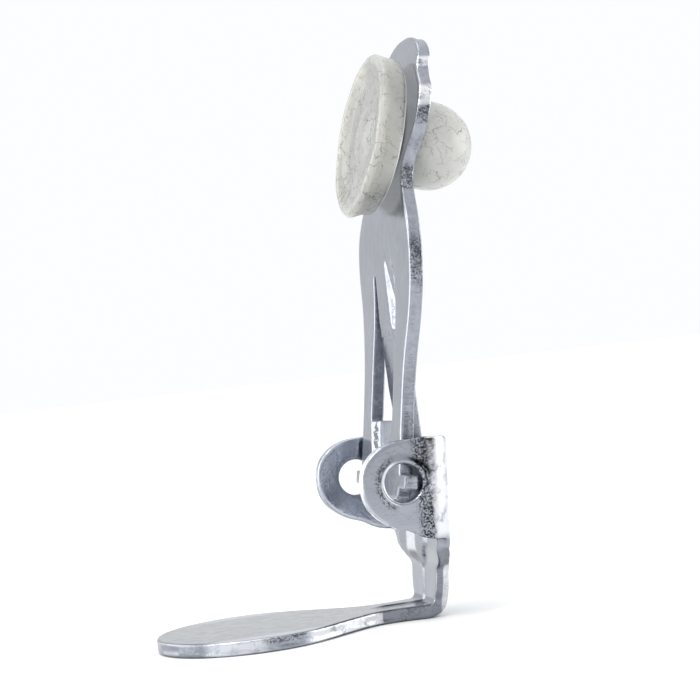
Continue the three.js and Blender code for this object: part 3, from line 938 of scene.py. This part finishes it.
def make_buffer():
    prof = buffer_profile()
    N = 112
    lip = LIP_ANGLE
    bm = bmesh.new()
    rings = []
    for r, h in prof:
        if r < 1e-4:
            rings.append([bm.verts.new((0, 0, h * MM))])
            continue
        ring = []
        for i in range(N):
            a = 2 * math.pi * i / N
            x, y = r * math.cos(a), r * math.sin(a)
            # hand-moulded unevenness, kept off the stem
            k = smooth(5.2, 7.5, r)
            q = noise.noise(Vector((x * 0.16, y * 0.16, h * 0.16 + 3.1)))
            q2 = noise.noise(Vector((x * 0.5, y * 0.5, h * 0.5 + 9.0)))
            low = math.exp(-(((a - lip + math.pi) % (2 * math.pi) - math.pi) / 0.42) ** 2)
            rr = r + k * (0.16 * q + 0.05 * q2) - k * 0.12
            if h > 2.0:
                rr += 0.75 * low * smooth(11.0, 14.5, r) * smooth(2.5, 5.0, h)
            hh = h + k * (0.14 * noise.noise(Vector((x * 0.2, y * 0.2, 7.7))) if h > 1.5 else 0)
            ring.append(bm.verts.new((rr * math.cos(a) * MM, rr * math.sin(a) * MM, hh * MM)))
        rings.append(ring)
    for a, b in zip(rings[:-1], rings[1:]):
        if len(a) == 1:
            for i in range(N):
                bm.faces.new((a[0], b[i], b[(i + 1) % N]))
        elif len(b) == 1:
            for i in range(N):
                bm.faces.new((a[i], b[0], a[(i + 1) % N]))
        else:
            for i in range(N):
                bm.faces.new((a[i], b[i], b[(i + 1) % N], a[(i + 1) % N]))
    bmesh.ops.recalc_face_normals(bm, faces=bm.faces)
    me = bpy.data.meshes.new("buffer_moulding")
    axis = Vector((-1, 0, HEAD_SLOPE)).normalized()
    side = Vector((0, 1, 0))
    third = side.cross(axis)
    o = Vector((HEAD_X + HEAD_SLOPE * (BUFFER_S - HEAD_Z), 0, BUFFER_S + PIVOT_Z)) * MM
    M = Matrix(((side.x, third.x, axis.x, o.x), (side.y, third.y, axis.y, o.y), (side.z, third.z, axis.z, o.z), (0, 0, 0, 1)))
    bm.transform(M)
    bmesh.ops.recalc_face_normals(bm, faces=bm.faces)
    bm.to_mesh(me)
    bm.free()
    for f in me.polygons:
        f.use_smooth = True
    ob = bpy.data.objects.new("buffer_moulding", me)
    bpy.context.scene.collection.objects.link(ob)
    return ob


buffer = make_buffer()

for ob, mat, node, slot, body in ((base, ZINC_BASE, "base_bracket", "zinc_base", "base"),
                                  (lever, ZINC_LEVER, "lever_arm", "zinc_lever", "lever"),
                                  (buffer, RUBBER, "rubber_buffer", "rubber", "lever")):
    ob.data.materials.append(mat)
    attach(ob, body)
    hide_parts(node)

# ------------------------------------------------------------------ stage, light, camera
fm, fnt, fb = nodes_of("studio_floor")
fb.inputs["Base Color"].default_value = (0.97, 0.97, 0.97, 1)
fb.inputs["Roughness"].default_value = 0.9
fbm = bmesh.new()
R = 6.0
for i in range(64):
    a = 2 * math.pi * i / 64
    fbm.verts.new((R * math.cos(a), R * math.sin(a), 0))
fbm.faces.new(fbm.verts)
fme = bpy.data.meshes.new("studio_floor")
fbm.to_mesh(fme)
fbm.free()
floor = bpy.data.objects.new("studio_floor", fme)
bpy.context.scene.collection.objects.link(floor)
floor.location.z = -0.00005
fme.materials.append(fm)

world = bpy.context.scene.world or bpy.data.worlds.new("studio")
bpy.context.scene.world = world
world.use_nodes = True
wn = world.node_tree
wn.nodes.clear()
wo = wn.nodes.new("ShaderNodeOutputWorld")
bg = wn.nodes.new("ShaderNodeBackground")
wn.links.new(bg.outputs[0], wo.inputs[0])
bg.inputs[1].default_value = 1.0
wtc = wn.nodes.new("ShaderNodeTexCoord")


def patch(direction, inner, outer):
    """1 inside a soft round patch of the sky about a direction, 0 outside."""
    v = wn.nodes.new("ShaderNodeVectorMath")
    v.operation = "DOT_PRODUCT"
    wn.links.new(wtc.outputs["Generated"], v.inputs[0])
    v.inputs[1].default_value = Vector(direction).normalized()
    m = wn.nodes.new("ShaderNodeMapRange")
    m.interpolation_type = "SMOOTHSTEP"
    m.inputs["From Min"].default_value = math.cos(math.radians(outer))
    m.inputs["From Max"].default_value = math.cos(math.radians(inner))
    wn.links.new(v.outputs["Value"], m.inputs["Value"])
    return m.outputs[0]


SKY = (0.97, 0.985, 1.0)
sky = mix_rgb(wn, patch((0.0, 0.0, 1.0), 20, 60), SKY, (1.15, 1.15, 1.15))
wn.links.new(sky, bg.inputs[0])
bpy.context.scene.view_settings.view_transform = "Standard"


def light(name, loc, target, size, power, color=(1, 1, 1), size_y=None):
    d = bpy.data.lights.new(name, "AREA")
    d.energy = power
    d.color = color
    d.shape = "RECTANGLE"
    d.size = size
    d.size_y = size_y or size
    o = bpy.data.objects.new(name, d)
    bpy.context.scene.collection.objects.link(o)
    o.location = loc
    v = Vector(target) - Vector(loc)
    o.rotation_euler = v.to_track_quat("-Z", "Y").to_euler()
    return o


def card(name, angle, dist, width, low, high, shade, glow):
    """A studio card standing round the object, seen only in reflections.
    angle is measured from -Y towards +X."""
    cm, cnt, cb = nodes_of(name)
    cb.inputs["Base Color"].default_value = (shade, shade, shade, 1)
    cb.inputs["Roughness"].default_value = 1.0
    cb.inputs["Emission Color"].default_value = (1, 1, 1, 1)
    cb.inputs["Emission Strength"].default_value = glow
    a = math.radians(angle)
    out = Vector((math.sin(a), -math.cos(a), 0))
    side = Vector((math.cos(a), math.sin(a), 0))
    b = bmesh.new()
    n = 8
    rows = []
    for z in (low, high):
        rows.append([b.verts.new(out * (dist + 0.02 * (1 - (2 * i / n - 1) ** 2)) + side * width * (i / n - 0.5)
                                 + Vector((0, 0, z))) for i in range(n + 1)])
    for i in range(n):
        b.faces.new((rows[0][i], rows[0][i + 1], rows[1][i + 1], rows[1][i]))
    m = bpy.data.meshes.new(name)
    b.to_mesh(m)
    b.free()
    m.materials.append(cm)
    o = bpy.data.objects.new(name, m)
    bpy.context.scene.collection.objects.link(o)
    o.visible_camera = False
    o.visible_diffuse = False
    o.visible_shadow = False
    o.visible_transmission = False
    return o


card("dark_card", 37, 0.33, 0.15, 0.0, 0.20, 0.015, 0.0)
card("right_card", 84, 0.36, 0.27, 0.0, 0.24, 0.9, 2.6)
card("left_card", -101, 0.42, 0.34, 0.0, 0.36, 0.9, 2.9)
card("back_card", -138, 0.42, 0.15, 0.0, 0.36, 0.9, 2.5)

light("key", (-0.35, -0.25, 0.62), (0, 0, 0.05), 0.22, 1.3)
light("top", (0.0, 0.15, 0.75), (0, 0, 0.05), 0.45, 1.0)

az, el, roll = math.radians(-14.95), math.radians(-0.27), math.radians(-6.52)
T = Vector((-2.36, 0, 24.41 + PIVOT_Z)) * MM
d = Vector((math.sin(az) * math.cos(el), -math.cos(az) * math.cos(el), math.sin(el)))
C = T + d * 0.3495
fw = -d
r0 = fw.cross(Vector((0, 0, 1))).normalized()
u0 = r0.cross(fw)
c, s = math.cos(roll), math.sin(roll)
rx = r0 * c + u0 * s
uy = -r0 * s + u0 * c
cam_d = bpy.data.cameras.new("camera")
cam_d.sensor_width = 36
cam_d.lens = 36 * 1892.15 / 700
cam_d.clip_start = 0.01
cam = bpy.data.objects.new("camera", cam_d)
bpy.context.scene.collection.objects.link(cam)
cam.matrix_world = Matrix(((rx.x, uy.x, d.x, C.x), (rx.y, uy.y, d.y, C.y), (rx.z, uy.z, d.z, C.z), (0, 0, 0, 1)))
bpy.context.scene.camera = cam
